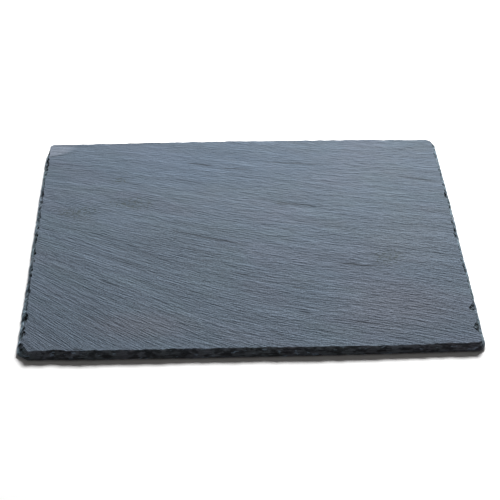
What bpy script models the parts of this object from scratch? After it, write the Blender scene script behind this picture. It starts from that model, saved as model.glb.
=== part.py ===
"""A slate serving board: one slab of natural slate, riven on top and dressed by hand round its edge.

The frame is the slab's own: +Z is up, X runs along the length, the front is at -Y, and the origin is the
middle of the underside, on the table. Everything is in metres.
"""

import math

import bmesh
import bpy
from mathutils import Vector, kdtree, noise
from mathutils.geometry import delaunay_2d_cdt

# Driving dimensions of the slab
LENGTH = 0.400
DEPTH = 0.300
THICKNESS = 0.0076

# The dressed edge slopes outwards on its way down, and its sides are a little bowed and uneven in plan
BEVEL = 0.0040
BOW_OF_FRONT = 0.0018
BOW_OF_BACK = 0.0030
BOW_OF_SHORT_SIDES = 0.0006
TAPER_OF_BACK = 0.0005  # how far the back side swings forwards at its left end, and backwards at its right
WANDER = 0.0005
WANDER_SIZE = 0.045

# The knocked corners: side of the middle in X and in Y, how far the knock reaches along each side, and
# how full it is, from 0 for a straight clip to 1 for a square corner
CORNERS = (
    (-1, -1, 0.0095, 0.0070, 0.15),
    (1, -1, 0.0060, 0.0070, 0.65),
    (1, 1, 0.0080, 0.0085, 0.60),
    (-1, 1, 0.0050, 0.0045, 0.50),
)
CORNER_POINTS = 8
CORNER_POWER = 16  # how close to a corner the edge begins to turn from one side to the next

# Rings of the edge from the top arris down: share of the thickness, share of the bevel set back, and
# share of the flake scars that shows, on the short sides and on the long sides
EDGE_RINGS = (
    (1.00, 1.00, 0.45, 0.45),
    (0.80, 0.80, 0.85, 0.65),
    (0.50, 0.40, 0.80, 0.70),
    (0.22, 0.00, 0.18, 0.18),
    (0.00, 0.30, 0.18, 0.18),
)

# Flake scars left by the slater's blade: length along the edge, height, and depth into the stone
SCAR_LENGTH = 0.012
SCAR_HEIGHT = 0.006
SCAR_DEPTH = 0.0021
SCAR_REACH = 0.72  # from a scar's middle to its rim, in cells of the scar pattern

# The deepest bites out of the top arris: X and Y on the side, half the width, and the depth
BITES = (
    (-0.200, -0.106, 0.0065, 0.0034),
    (-0.200, -0.125, 0.0055, 0.0020),
    (-0.199, -0.143, 0.0080, 0.0020),
    (-0.166, -0.150, 0.0090, 0.0012),
    (-0.025, -0.150, 0.0550, 0.0011),
    (0.200, 0.053, 0.0045, 0.0012),
    (0.200, -0.007, 0.0050, 0.0012),
    (0.200, -0.041, 0.0050, 0.0014),
    (0.200, -0.103, 0.0075, 0.0034),
    (0.200, -0.127, 0.0070, 0.0038),
)

# The corner that the blade caught from below: X and Y on the side, how far it reaches, and its depth
UNDERCUT = (-0.200, 0.148, 0.019, 0.0037)

# The riven face: broad swells, thin layers that end in ledges, and ridges, all drawn out along the grain;
# a size is the length along the grain and the width across it
SWELL_HEIGHT = 0.00028
SWELL_SIZE = (0.140, 0.060)
LEDGE_HEIGHT = 0.00018
LEDGE_SIZE = (0.060, 0.024)
LAYERS = 2.2  # layers crossed between a rise of the ledge pattern and the level ground
LEDGE_DROP = 0.25  # share of a layer's tread over which it drops to the next
RIDGE_HEIGHT = 0.00017
RIDGE_SIZE = (0.036, 0.0090)

# Mesh spacing: stations round the edge, and points on the face along and across the grain
STATION_SPACING = 0.0028
POINTS_ALONG = 0.0122
POINTS_ACROSS = 0.0042
FACE_MARGIN = 0.0017

SLATE_COLOUR = (0.105, 0.128, 0.157, 1.0)
SLATE_ROUGHNESS = 0.6


def clear_scene():
    """Removes what the startup scene holds."""
    for obj in list(bpy.data.objects):
        bpy.data.objects.remove(obj, do_unlink=True)


def corner_curve(sign_x, sign_y, reach_x, reach_y, fullness):
    """Points round one knocked corner, anticlockwise, on a quadratic curve between its two sides."""
    corner = Vector((sign_x * LENGTH / 2, sign_y * DEPTH / 2))
    on_long_side = corner - Vector((sign_x * reach_x, 0))
    on_short_side = corner - Vector((0, sign_y * reach_y))
    if sign_x * sign_y > 0:
        start, end = on_short_side, on_long_side
    else:
        start, end = on_long_side, on_short_side
    pull = ((start + end) / 2).lerp(corner, fullness)
    ts = [i / CORNER_POINTS for i in range(CORNER_POINTS + 1)]
    return [start * (1 - t) ** 2 + pull * 2 * t * (1 - t) + end * t * t for t in ts]


def outward(x, y):
    """Level direction out of the slab at a point near its edge; it swings round smoothly at a corner."""
    u, v = 2 * x / LENGTH, 2 * y / DEPTH
    return Vector((u ** (CORNER_POWER - 1) / LENGTH, v ** (CORNER_POWER - 1) / DEPTH)).normalized()


def hand_cut(p):
    """A point of the straight-sided plan, moved to where the hand-cut side really runs."""
    u, v = 2 * p.x / LENGTH, 2 * p.y / DEPTH
    bow_of_side = BOW_OF_FRONT + (BOW_OF_BACK - BOW_OF_FRONT) * (1 + v) / 2
    bow = Vector((-u * BOW_OF_SHORT_SIDES * v * v, -v * bow_of_side * u * u))
    taper = Vector((0, TAPER_OF_BACK * u * (1 + v) / 2))
    wander = WANDER * noise.noise(Vector((p.x / WANDER_SIZE, p.y / WANDER_SIZE, 3.4)))
    return p + bow + taper + wander * outward(p.x, p.y)


def plan_outline():
    """The slab's widest line in plan, anticlockwise, in even stations."""
    loop = [p for corner in CORNERS for p in corner_curve(*corner)]
    loop.append(loop[0])
    spans = [(b - a).length for a, b in zip(loop, loop[1:])]
    count = round(sum(spans) / STATION_SPACING)
    step = sum(spans) / count
    points, walked, at = [], 0.0, 0
    for i in range(count):
        while walked + spans[at] < i * step:
            walked += spans[at]
            at += 1
        points.append(hand_cut(loop[at].lerp(loop[at + 1], (i * step - walked) / spans[at])))
    return points


def grain_fall(x):
    """How far a line of the grain has fallen towards the front at a given X, next to the middle."""
    u = 2 * x / LENGTH
    return LENGTH / 2 * u * (0.26 - 0.135 * u + 0.07 * u * u)


def grain_spread(x):
    """How closely the lines of the grain lie at a given X, next to the middle; they fan out to the right."""
    u = 2 * x / LENGTH
    return 1 + u * (-0.12 + 0.18 * u - 0.17 * u * u)


def grain_line(x, y):
    """Names the line of the grain through a point; the grain sweeps down from the left and levels out."""
    return y * grain_spread(x) + grain_fall(x)


def y_on_grain_line(x, line):
    """Where a line of the grain crosses a given X."""
    return (line - grain_fall(x)) / grain_spread(x)


def grain_noise(x, y, size, layer):
    """Smooth noise between -1 and 1, drawn out along the grain; each layer is a pattern of its own."""
    return noise.noise(Vector((x / size[0], grain_line(x, y) / size[1], layer)))


def ledges(x, y):
    """Height of thin layers of slate, each a flat tread with a steep drop to the next."""
    level = LAYERS * grain_noise(x, y, LEDGE_SIZE, 5.3)
    tread = math.floor(level)
    drop = min(1.0, (level - tread) / LEDGE_DROP)
    return LEDGE_HEIGHT * (tread + drop * drop * (3 - 2 * drop))


def face_height(x, y):
    """Height of the riven face above the table."""
    swell = SWELL_HEIGHT * grain_noise(x, y, SWELL_SIZE, 1.7)
    ridge = RIDGE_HEIGHT * grain_noise(x, y, RIDGE_SIZE, 9.1)
    return THICKNESS + swell + ledges(x, y) + ridge


def scar(p, z):
    """Depth of the flake scars at a point of the edge: round hollows that meet in sharp ridges."""
    distances, _ = noise.voronoi(Vector((p.x / SCAR_LENGTH, p.y / SCAR_LENGTH, z / SCAR_HEIGHT)))
    return SCAR_DEPTH * max(0.0, 1 - (distances[0] / SCAR_REACH) ** 2)


def hollow_at(p, x, y, reach, depth):
    """Depth of one round bite at a point of the edge."""
    return depth * max(0.0, 1 - ((p.x - x) ** 2 + (p.y - y) ** 2) / reach ** 2)


def bite(p, share):
    """Depth of the big bites at a point of the edge; most are deepest at the top, one at the bottom."""
    from_top = max(hollow_at(p, *place) for place in BITES)
    return share ** 2 * from_top + (1 - share) * hollow_at(p, *UNDERCUT)


def edge_ring(outline, share, set_back, scars_on_short, scars_on_long):
    """One ring of the edge at a share of the thickness."""
    ring = []
    for p in outline:
        out = outward(p.x, p.y)
        z = share * face_height(p.x, p.y)
        scars = scars_on_short + (scars_on_long - scars_on_short) * out.y ** 2
        inward = BEVEL * set_back + scars * scar(p, z) + bite(p, share)
        at = p - out * inward
        ring.append(Vector((at.x, at.y, z)))
    return ring


def edge_rings():
    """The rings of the edge from the top arris down, brought to the slab's size and centred."""
    outline = plan_outline()
    rings = [edge_ring(outline, *levels) for levels in EDGE_RINGS]
    for axis, size in ((0, LENGTH), (1, DEPTH)):
        places = [p[axis] for ring in rings for p in ring]
        middle = (max(places) + min(places)) / 2
        scale = size / (max(places) - min(places))
        for ring in rings:
            for p in ring:
                p[axis] = (p[axis] - middle) * scale
    return rings


def face_points(arris):
    """Points of the face in staggered rows along the grain, inside the arris and clear of it."""
    tree = kdtree.KDTree(len(arris))
    for i, p in enumerate(arris):
        tree.insert((p.x, p.y, 0), i)
    tree.balance()
    lines = [grain_line(p.x, p.y) / POINTS_ACROSS for p in arris]
    columns = int(LENGTH / 2 / POINTS_ALONG)
    points = []
    for row in range(int(min(lines)), int(max(lines)) + 1):
        for column in range(-columns, columns + 1):
            x = (column + 0.5 * (row % 2)) * POINTS_ALONG
            p = Vector((x, y_on_grain_line(x, row * POINTS_ACROSS), 0))
            _, i, distance = tree.find(p)
            along = arris[(i + 1) % len(arris)] - arris[i - 1]
            from_arris = p - arris[i]
            inside = along.x * from_arris.y - along.y * from_arris.x > 0
            if inside and distance > FACE_MARGIN:
                points.append(Vector((p.x, p.y, face_height(p.x, p.y))))
    return points


def face_triangles(points, arris_count):
    """Triangles between the points of the face, drawn out along the grain as its ridges are."""
    stretch = POINTS_ALONG / POINTS_ACROSS
    plan = [Vector((p.x / stretch, grain_line(p.x, p.y))) for p in points]
    border = [(i, (i + 1) % arris_count) for i in range(arris_count)]
    inside_only = 1
    _, _, triangles, sources, _, _ = delaunay_2d_cdt(plan, border, [], inside_only, 1e-7)
    return [[sources[i][0] for i in triangle] for triangle in triangles]


def slab_mesh():
    """The closed slab: riven face, dressed edge and flat underside."""
    rings = edge_rings()
    arris = rings[0]
    count = len(arris)
    face = arris + face_points(arris)

    shape = bmesh.new()
    face_verts = [shape.verts.new(p) for p in face]
    for triangle in face_triangles(face, count):
        shape.faces.new([face_verts[i] for i in triangle])
    upper = face_verts[:count]
    for ring in rings[1:]:
        lower = [shape.verts.new(p) for p in ring]
        for i in range(count):
            j = (i + 1) % count
            shape.faces.new((upper[i], lower[i], lower[j], upper[j]))
        upper = lower
    shape.faces.new(list(reversed(upper)))

    mesh = bpy.data.meshes.new("slate_board")
    shape.to_mesh(mesh)
    shape.free()
    return mesh


def slate_material():
    """Blue-grey slate with a dull sheen."""
    material = bpy.data.materials.new("slate")
    material.use_nodes = True
    shader = material.node_tree.nodes["Principled BSDF"]
    shader.inputs["Base Color"].default_value = SLATE_COLOUR
    shader.inputs["Roughness"].default_value = SLATE_ROUGHNESS
    shader.inputs["Metallic"].default_value = 0.0
    return material


def build():
    """Clears the scene and lays the board on the table."""
    clear_scene()
    board = bpy.data.objects.new("slate_board", slab_mesh())
    board.data.materials.append(slate_material())
    board.data.shade_smooth()
    board.data.set_sharp_from_angle(angle=math.radians(25))
    bpy.context.scene.collection.objects.link(board)


build()
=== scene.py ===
# %% [markdown]
# # A slate serving board
#
# The real object is one slab of slate. Slate is mud that was pressed into stone, and it splits along thin
# layers. The quarry splits a block by hand, which leaves the riven face with its low ripples and ledges, and
# the sides are then dressed with a blade that knocks flakes off the lower edge, so that they slope outwards
# on their way down. This lesson dresses a plain CAD solid of the board with that surface: first the camera
# and the light, then the slab, then its relief with Geometry Nodes, and last the stone's finish.

# %% Load the solid
import math

import bmesh
import bpy
import numpy as np
from mathutils import Matrix, Vector, kdtree, noise
from mathutils.geometry import delaunay_2d_cdt


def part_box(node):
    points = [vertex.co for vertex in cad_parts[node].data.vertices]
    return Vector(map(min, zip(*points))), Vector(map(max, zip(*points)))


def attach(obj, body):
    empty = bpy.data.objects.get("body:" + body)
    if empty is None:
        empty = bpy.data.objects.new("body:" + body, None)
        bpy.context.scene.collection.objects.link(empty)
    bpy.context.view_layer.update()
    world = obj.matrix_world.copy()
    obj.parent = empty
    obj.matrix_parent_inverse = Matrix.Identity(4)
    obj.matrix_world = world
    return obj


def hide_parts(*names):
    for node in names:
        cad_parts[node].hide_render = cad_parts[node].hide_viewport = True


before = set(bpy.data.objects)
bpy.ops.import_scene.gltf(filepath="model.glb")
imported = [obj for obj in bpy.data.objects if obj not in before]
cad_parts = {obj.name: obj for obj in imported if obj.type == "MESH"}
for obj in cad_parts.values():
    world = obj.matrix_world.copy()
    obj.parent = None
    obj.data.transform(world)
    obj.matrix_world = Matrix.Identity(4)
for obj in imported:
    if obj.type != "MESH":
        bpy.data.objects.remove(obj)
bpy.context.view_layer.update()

lowest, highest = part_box("slate_board")
LENGTH, DEPTH = highest.x - lowest.x, highest.y - lowest.y
print(f"the solid is {LENGTH:.3f} m long, {DEPTH:.3f} m deep and {highest.z:.4f} m high")

# %% [markdown]
# ## Camera
#
# The board is seen from the front and above, a little from its left. A camera on a circle round a target
# is easy to reason about: one angle round the board, one above the table, and a slight roll. The angles
# come from fitting the four sides of the board, and the lens is a short telephoto, which keeps the far side
# of the board from shrinking much.

# %% Place the camera
CAMERA_AROUND = math.radians(-2.656)
CAMERA_ABOVE = math.radians(41.911)
CAMERA_ROLL = math.radians(0.805)
CAMERA_DISTANCE = 1.0887
CAMERA_TARGET = Vector((0.0023, -0.01363, 0.0))
CAMERA_LENS, CAMERA_SENSOR = 84.19, 36


def place_camera():
    """Looks at the target from its left and above, with the roll of a hand-held picture."""
    level = math.cos(CAMERA_ABOVE)
    back = Vector((math.sin(CAMERA_AROUND) * level, -math.cos(CAMERA_AROUND) * level, math.sin(CAMERA_ABOVE)))
    data = bpy.data.cameras.new("camera")
    data.lens, data.sensor_width = CAMERA_LENS, CAMERA_SENSOR
    camera = bpy.data.objects.new("camera", data)
    turn = (-back).to_track_quat("-Z", "Y").to_matrix().to_4x4() @ Matrix.Rotation(CAMERA_ROLL, 4, "Z")
    camera.matrix_world = Matrix.Translation(CAMERA_TARGET + back * CAMERA_DISTANCE) @ turn
    bpy.context.scene.collection.objects.link(camera)
    return camera


bpy.context.scene.camera = place_camera()
print("the camera stands at", [round(c, 3) for c in bpy.context.scene.camera.location])

# %% [markdown]
# ## Floor and world
#
# The board lies on a plain pale floor. The floor is only a stage, not a part of the object. A dim, slightly
# warm world keeps the front edge of the board from going wholly black, and tints the strip of shadow on the
# table below it.

# %% Lay the floor and dim the world
WORLD_TINT, WORLD_STRENGTH = (1.0, 0.95, 0.91, 1), 0.06
PAPER, PAPER_ROUGHNESS = (0.93, 0.93, 0.93, 1), 0.9
FLOOR_HALF, FLOOR_DROP = 6.0, 0.0001


def pale_floor():
    """A wide flat floor just under the board."""
    mesh = bpy.data.meshes.new("floor")
    signs = ((-1, -1), (1, -1), (1, 1), (-1, 1))
    mesh.from_pydata([(x * FLOOR_HALF, y * FLOOR_HALF, 0) for x, y in signs], [], [(0, 1, 2, 3)])
    paper = bpy.data.materials.new("pale_paper")
    paper.use_nodes = True
    shader = paper.node_tree.nodes["Principled BSDF"]
    shader.inputs["Base Color"].default_value = PAPER
    shader.inputs["Roughness"].default_value = PAPER_ROUGHNESS
    mesh.materials.append(paper)
    floor = bpy.data.objects.new("floor", mesh)
    floor.location.z = -FLOOR_DROP
    bpy.context.scene.collection.objects.link(floor)
    return floor


def dim_world():
    """Even, slightly warm light from all round."""
    world = bpy.data.worlds.new("studio")
    world.use_nodes = True
    background = world.node_tree.nodes["Background"]
    background.inputs["Color"].default_value = WORLD_TINT
    background.inputs["Strength"].default_value = WORLD_STRENGTH
    bpy.context.scene.world = world


pale_floor()
dim_world()
print("the floor is", 2 * FLOOR_HALF, "m wide and the world's strength", WORLD_STRENGTH)

# %% [markdown]
# ## Light
#
# Slate shows its relief only when light skims it. The main light is one large soft window of light behind
# the board: the riven face then carries a dull sheen that brightens towards the back, each ripple has a pale
# crest and a dark near side, and the front edge, turned away from the light, goes nearly black. A second
# light, wide and very weak, hangs above and softens the shadows.

# %% Place the lights
WINDOW_SIZE = (0.8, 0.4)
WINDOW_PLACE = Vector((0.36, 1.34, 0.98))
WINDOW_POWER = 79.0
CEILING_SIZE = (2.4, 2.4)
CEILING_PLACE = Vector((0.0, 0.35, 2.2))
CEILING_POWER = 2.0
LIT_SPOT = Vector((0, 0, 0))


def soft_light(name, place, size, power):
    """A rectangular soft light, turned to the middle of the board."""
    data = bpy.data.lights.new(name, "AREA")
    data.shape = "RECTANGLE"
    data.size, data.size_y = size
    data.energy = power
    light = bpy.data.objects.new(name, data)
    light.location = place
    light.rotation_euler = (LIT_SPOT - place).to_track_quat("-Z", "Y").to_euler()
    bpy.context.scene.collection.objects.link(light)


soft_light("window", WINDOW_PLACE, WINDOW_SIZE, WINDOW_POWER)
soft_light("ceiling", CEILING_PLACE, CEILING_SIZE, CEILING_POWER)
bpy.context.scene.view_settings.view_transform = "Standard"
print("2 soft lights, the window at", WINDOW_POWER, "W and the ceiling at", CEILING_POWER, "W")

# %% [markdown]
# ## The slab's plan
#
# Seen from above, the board is nearly a rectangle, but no side is straight: a blade cut each one by eye, and
# the corners are knocked in four different ways. An outline drawn point by point would be hard to change,
# so the plan is worked out instead: four short corner curves, joined, walked in even steps, and then bowed
# and shaken a little by smooth noise. These are the solid's own sizes, so the two fit each other.

# %% Walk the outline
THICKNESS = 0.0076
BOW_OF_FRONT, BOW_OF_BACK, BOW_OF_SHORT_SIDES, TAPER_OF_BACK = 0.0018, 0.0030, 0.0006, 0.0005
WANDER, WANDER_SIZE, WANDER_LAYER = 0.0005, 0.045, 3.4
CORNERS = (  # side in X and in Y, reach of the knock along each side, and how full the corner is
    (-1, -1, 0.0095, 0.0070, 0.15),
    (1, -1, 0.0060, 0.0070, 0.65),
    (1, 1, 0.0080, 0.0085, 0.60),
    (-1, 1, 0.0050, 0.0045, 0.50),
)
CORNER_POINTS = 8
CORNER_POWER = 16
STATION_SPACING = 0.0012


def corner_curve(sign_x, sign_y, reach_x, reach_y, fullness):
    """Points round one knocked corner, anticlockwise, on a quadratic curve between its two sides."""
    corner = Vector((sign_x * LENGTH / 2, sign_y * DEPTH / 2))
    on_long_side = corner - Vector((sign_x * reach_x, 0))
    on_short_side = corner - Vector((0, sign_y * reach_y))
    if sign_x * sign_y > 0:
        start, end = on_short_side, on_long_side
    else:
        start, end = on_long_side, on_short_side
    pull = ((start + end) / 2).lerp(corner, fullness)
    ts = [i / CORNER_POINTS for i in range(CORNER_POINTS + 1)]
    return [start * (1 - t) ** 2 + pull * 2 * t * (1 - t) + end * t * t for t in ts]


def outward(x, y):
    """Level direction out of the slab near its edge; it swings round smoothly at a corner."""
    u, v = 2 * x / LENGTH, 2 * y / DEPTH
    return Vector((u ** (CORNER_POWER - 1) / LENGTH, v ** (CORNER_POWER - 1) / DEPTH)).normalized()


def hand_cut(p):
    """A point of the straight-sided plan, moved to where the hand-cut side really runs."""
    u, v = 2 * p.x / LENGTH, 2 * p.y / DEPTH
    bow_of_side = BOW_OF_FRONT + (BOW_OF_BACK - BOW_OF_FRONT) * (1 + v) / 2
    bow = Vector((-u * BOW_OF_SHORT_SIDES * v * v, -v * bow_of_side * u * u))
    taper = Vector((0, TAPER_OF_BACK * u * (1 + v) / 2))
    wander = WANDER * noise.noise(Vector((p.x / WANDER_SIZE, p.y / WANDER_SIZE, WANDER_LAYER)))
    return p + bow + taper + wander * outward(p.x, p.y)


def plan_outline():
    """The slab's widest line in plan, anticlockwise, in even stations."""
    loop = [p for corner in CORNERS for p in corner_curve(*corner)]
    loop.append(loop[0])
    spans = [(b - a).length for a, b in zip(loop, loop[1:])]
    count = round(sum(spans) / STATION_SPACING)
    step = sum(spans) / count
    points, walked, at = [], 0.0, 0
    for i in range(count):
        while walked + spans[at] < i * step:
            walked += spans[at]
            at += 1
        points.append(hand_cut(loop[at].lerp(loop[at + 1], (i * step - walked) / spans[at])))
    return points


outline = plan_outline()
print(len(outline), "stations round the board")

# %% [markdown]
# ## The lie of the grain
#
# All the ripples follow one sweep: steeply down from the left side, then levelling out to the right. A short
# formula names the line of the grain through each point. Noise that is read along and across these lines,
# rather than along X and Y, is drawn out and bent as the real ripples are.

# %% Shape the riven face
FALL = (0.26, -0.135, 0.07)  # of a line of the grain, as powers of the place from left, -1, to right, 1
SPREAD = (-0.12, 0.18, -0.17)  # of these lines, in the same powers
SWELL_HEIGHT, SWELL_SIZE = 0.00028, (0.140, 0.060)
LEDGE_HEIGHT, LEDGE_SIZE = 0.00018, (0.060, 0.024)
LAYERS, LEDGE_DROP = 2.2, 0.25
RIDGE_HEIGHT, RIDGE_SIZE = 0.00017, (0.036, 0.0090)


def grain_fall(x):
    """How far a line of the grain has fallen towards the front at a given X, next to the middle."""
    u = 2 * x / LENGTH
    return LENGTH / 2 * u * (FALL[0] + FALL[1] * u + FALL[2] * u * u)


def grain_spread(x):
    """How closely the lines of the grain lie at a given X, next to the middle; they fan out to the right."""
    u = 2 * x / LENGTH
    return 1 + u * (SPREAD[0] + SPREAD[1] * u + SPREAD[2] * u * u)


def grain_line(x, y):
    """Names the line of the grain through a point."""
    return y * grain_spread(x) + grain_fall(x)


def y_on_grain_line(x, line):
    """Where a line of the grain crosses a given X."""
    return (line - grain_fall(x)) / grain_spread(x)


def grain_noise(x, y, size, layer):
    """Smooth noise between -1 and 1, drawn out along the grain; each layer is a pattern of its own."""
    return noise.noise(Vector((x / size[0], grain_line(x, y) / size[1], layer)))


def ledges(x, y):
    """Height of thin layers of slate, each a flat tread with a steep drop to the next."""
    level = LAYERS * grain_noise(x, y, LEDGE_SIZE, layer=5.3)
    tread = math.floor(level)
    drop = min(1.0, (level - tread) / LEDGE_DROP)
    return LEDGE_HEIGHT * (tread + drop * drop * (3 - 2 * drop))


def face_height(x, y):
    """Height of the riven face above the table."""
    swell = SWELL_HEIGHT * grain_noise(x, y, SWELL_SIZE, layer=1.7)
    ridge = RIDGE_HEIGHT * grain_noise(x, y, RIDGE_SIZE, layer=9.1)
    return THICKNESS + swell + ledges(x, y) + ridge


print("the face is", round(1000 * face_height(0, 0), 2), "mm above the table at its middle")

# %% [markdown]
# ## Flakes that came away
#
# Here and there a thin flake lifted off the face when the block was split. Each left a low step that faces
# the front, with a hollow that runs out over a few millimetres: these are the darkest lines on the board.
# They are listed one by one, because the eye remembers them, and each is only a line, a height and a fade at
# both ends. The foot of a step also gets a mask of painted shade, from 0 to 1, which the finish paints dark.

# %% Lift the flakes
FLAKE_RUN_OUT = 0.0075
FLAKE_STEP = 0.0006
FLAKE_WAVE, FLAKE_WAVE_SIZE, FLAKE_WAVE_LAYER = 0.0012, (0.012, 0.03), 2.2
FLAKE_ROUNDNESS = 0.6
# The foot of a step gets a band of painted shade about this wide.
CLEFT_SHADE_WIDTH = 0.0009
FLAKES = (  # X and Y of both ends of a step, and its height
    (-0.057, 0.111, -0.029, 0.105, 0.00026),
    (-0.022, 0.102, 0.009, 0.098, 0.00022),
    (0.020, 0.111, 0.090, 0.104, 0.00017),
    (0.153, 0.083, 0.191, 0.076, 0.00020),
    (-0.072, 0.008, 0.010, -0.018, 0.00022),
    (0.080, -0.041, 0.121, -0.046, 0.00024),
    (0.030, 0.048, 0.074, 0.040, 0.00024),
    (0.020, 0.061, 0.026, 0.058, 0.00016),
    (0.028, 0.046, 0.041, 0.044, 0.00020),
    (0.053, 0.044, 0.068, 0.041, 0.00014),
    (-0.083, 0.060, -0.053, 0.049, 0.00015),
    (0.015, -0.010, 0.029, -0.015, 0.00018),
    (-0.014, -0.052, 0.002, -0.056, 0.00018),
    (0.082, -0.041, 0.102, -0.043, 0.00020),
    (0.037, -0.071, 0.052, -0.074, 0.00018),
    (0.102, -0.083, 0.117, -0.085, 0.00016),
    (0.042, -0.101, 0.054, -0.107, 0.00022),
    (0.014, -0.125, 0.029, -0.132, 0.00018),
    (-0.135, -0.057, -0.115, -0.068, 0.00016),
    (0.090, -0.116, 0.103, -0.118, 0.00016),
    (-0.200, 0.1215, -0.165, 0.133, 0.00010),
    (-0.172, -0.1425, -0.134, -0.1430, 0.00034),
)
# The foot of a step this high gets the darkest painted shade.
FULLY_DARK = 0.00024  # the height of step whose foot is darkest


def flakes_at(x, y):
    """How far the lifted flakes lower the face at a point, and how much painted shade its cleft gets, from 0
    to 1.
    """
    depth, painted_cleft_shade = 0.0, 0.0
    for x0, y0, x1, y1, height in FLAKES:
        along = (x - x0) / (x1 - x0)
        if not 0 < along < 1:
            continue
        at = Vector((x / FLAKE_WAVE_SIZE[0], y0 / FLAKE_WAVE_SIZE[1], FLAKE_WAVE_LAYER))
        wave = FLAKE_WAVE * noise.noise(at)
        before = y0 + (y1 - y0) * along + wave - y
        if before > 0:
            fade = math.sin(math.pi * along) ** FLAKE_ROUNDNESS
            step = min(1.0, before / FLAKE_STEP)
            depth += height * fade * step * math.exp(-before / FLAKE_RUN_OUT)
            shadow = math.exp(-((before - FLAKE_STEP) / CLEFT_SHADE_WIDTH) ** 2)
            painted_cleft_shade = max(painted_cleft_shade, fade * min(1.0, height / FULLY_DARK) * shadow)
    return depth, painted_cleft_shade


print(len(FLAKES), "flakes, the deepest", 1000 * max(flake[4] for flake in FLAKES), "mm")

# %% [markdown]
# ## Scars and bites
#
# The blade knocks off one flake of stone after another, each a shallow round scar. A Voronoi pattern gives
# such scars: each cell is a round hollow, and where two cells meet they leave a sharp ridge. Where the blade
# bit deeper, a bite is listed, and at the back left corner it caught the stone from below.

# %% Shape the scars and the bites
SCAR_LENGTH, SCAR_HEIGHT, SCAR_DEPTH, SCAR_REACH = 0.012, 0.006, 0.0021, 0.72
BITES = (  # X and Y on the side, half the width, and the depth
    (-0.200, -0.106, 0.0065, 0.0034),
    (-0.200, -0.125, 0.0055, 0.0020),
    (-0.199, -0.143, 0.0080, 0.0020),
    (-0.166, -0.150, 0.0090, 0.0012),
    (-0.025, -0.150, 0.0550, 0.0011),
    (0.200, 0.053, 0.0045, 0.0012),
    (0.200, -0.007, 0.0050, 0.0012),
    (0.200, -0.041, 0.0050, 0.0014),
    (0.200, -0.103, 0.0075, 0.0034),
    (0.200, -0.127, 0.0070, 0.0038),
)
UNDERCUT = (-0.200, 0.148, 0.019, 0.0037)  # the corner that the blade caught from below


def scar(p, z):
    """Depth of the flake scars at a point of the edge: round hollows that meet in sharp ridges."""
    distances, _ = noise.voronoi(Vector((p.x / SCAR_LENGTH, p.y / SCAR_LENGTH, z / SCAR_HEIGHT)))
    return SCAR_DEPTH * max(0.0, 1 - (distances[0] / SCAR_REACH) ** 2)


def hollow_at(p, x, y, reach, depth):
    """Depth of one round bite at a point of the edge."""
    return depth * max(0.0, 1 - ((p.x - x) ** 2 + (p.y - y) ** 2) / reach ** 2)


def bite(p, share):
    """Depth of the big bites at a point of the edge; most are deepest at the top, one at the bottom."""
    from_top = max(hollow_at(p, *place) for place in BITES)
    return share ** 2 * from_top + (1 - share) * hollow_at(p, *UNDERCUT)


print(len(BITES), "bites, the deepest", 1000 * max(place[3] for place in BITES), "mm, and one undercut")

# %% [markdown]
# ## The dressed edge
#
# Slate being layered, a scar breaks in small steps, one for each layer. So the edge is built as a stack of
# thin layers. Each layer has its own outline, from the same pattern of round hollows cut at that layer's
# height. A layer's side is a riser, and what shows of the layer below it is a tread, which catches the light
# as a thin pale line.

# %% Cut the layers of the edge
BEVEL = 0.0040
EDGE_RINGS = (  # share of the thickness, of the bevel, and of the scars on short and on long sides
    (1.00, 1.00, 0.45, 0.45),
    (0.80, 0.80, 0.85, 0.65),
    (0.50, 0.40, 0.80, 0.70),
    (0.22, 0.00, 0.18, 0.18),
    (0.00, 0.30, 0.18, 0.18),
)
LAYER_SHARES = (1.0, 0.93, 0.80, 0.66, 0.54, 0.40, 0.27, 0.14)
STEPPED = 0.55  # how far a layer's side stands upright, from 0 for a smooth slope to 1
BOX_MARGIN = 0.00006


def edge_ring(share, cut_share):
    """One ring of the edge at a share of the thickness, with the outline that belongs to cut_share."""
    levels = np.array(EDGE_RINGS)[::-1].T
    set_back, on_short, on_long = (np.interp(cut_share, levels[0], row) for row in levels[1:])
    ring = []
    for p in outline:
        out = outward(p.x, p.y)
        height = face_height(p.x, p.y)
        scars = on_short + (on_long - on_short) * out.y ** 2
        inward = BEVEL * set_back + scars * scar(p, cut_share * height) + bite(p, cut_share)
        at = p - out * inward
        ring.append(Vector((at.x, at.y, share * height)))
    return ring


def edge_rings():
    """The rings from the top arris down: a layer's upper and lower rim have nearly the same outline."""
    rings = []
    for upper, lower in zip(LAYER_SHARES, LAYER_SHARES[1:] + (0.0,)):
        middle = (upper + lower) / 2
        rings.append(edge_ring(upper, upper + (middle - upper) * STEPPED))
        rings.append(edge_ring(lower, lower + (middle - lower) * STEPPED))
    for axis, size in ((0, LENGTH), (1, DEPTH)):
        places = [p[axis] for ring in rings for p in ring]
        middle = (max(places) + min(places)) / 2
        scale = (size - 2 * BOX_MARGIN) / (max(places) - min(places))
        for ring in rings:
            for p in ring:
                p[axis] = (p[axis] - middle) * scale
    return rings


rings = edge_rings()
print(len(rings), "rings make", len(LAYER_SHARES), "layers")

# %% [markdown]
# ## Filling a rim
#
# The face and the underside are both a rim with stone inside it. They are filled with points in staggered
# rows along the grain, and joined by a Delaunay triangulation in the grain's own coordinates, so that the
# triangles lie along the ripples. The points keep clear of the rim, because the chips push the rim inwards
# later, and a point too near it would be passed and folded over.

# %% Fill a rim with points and triangles
RIM_CLEARANCE = 0.0017
ROW_CLEARANCE = 0.6  # the clearance as a share of the way between two rows, where that is more
KEEP_INSIDE, CLOSE_ENOUGH = 1, 1e-10


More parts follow.
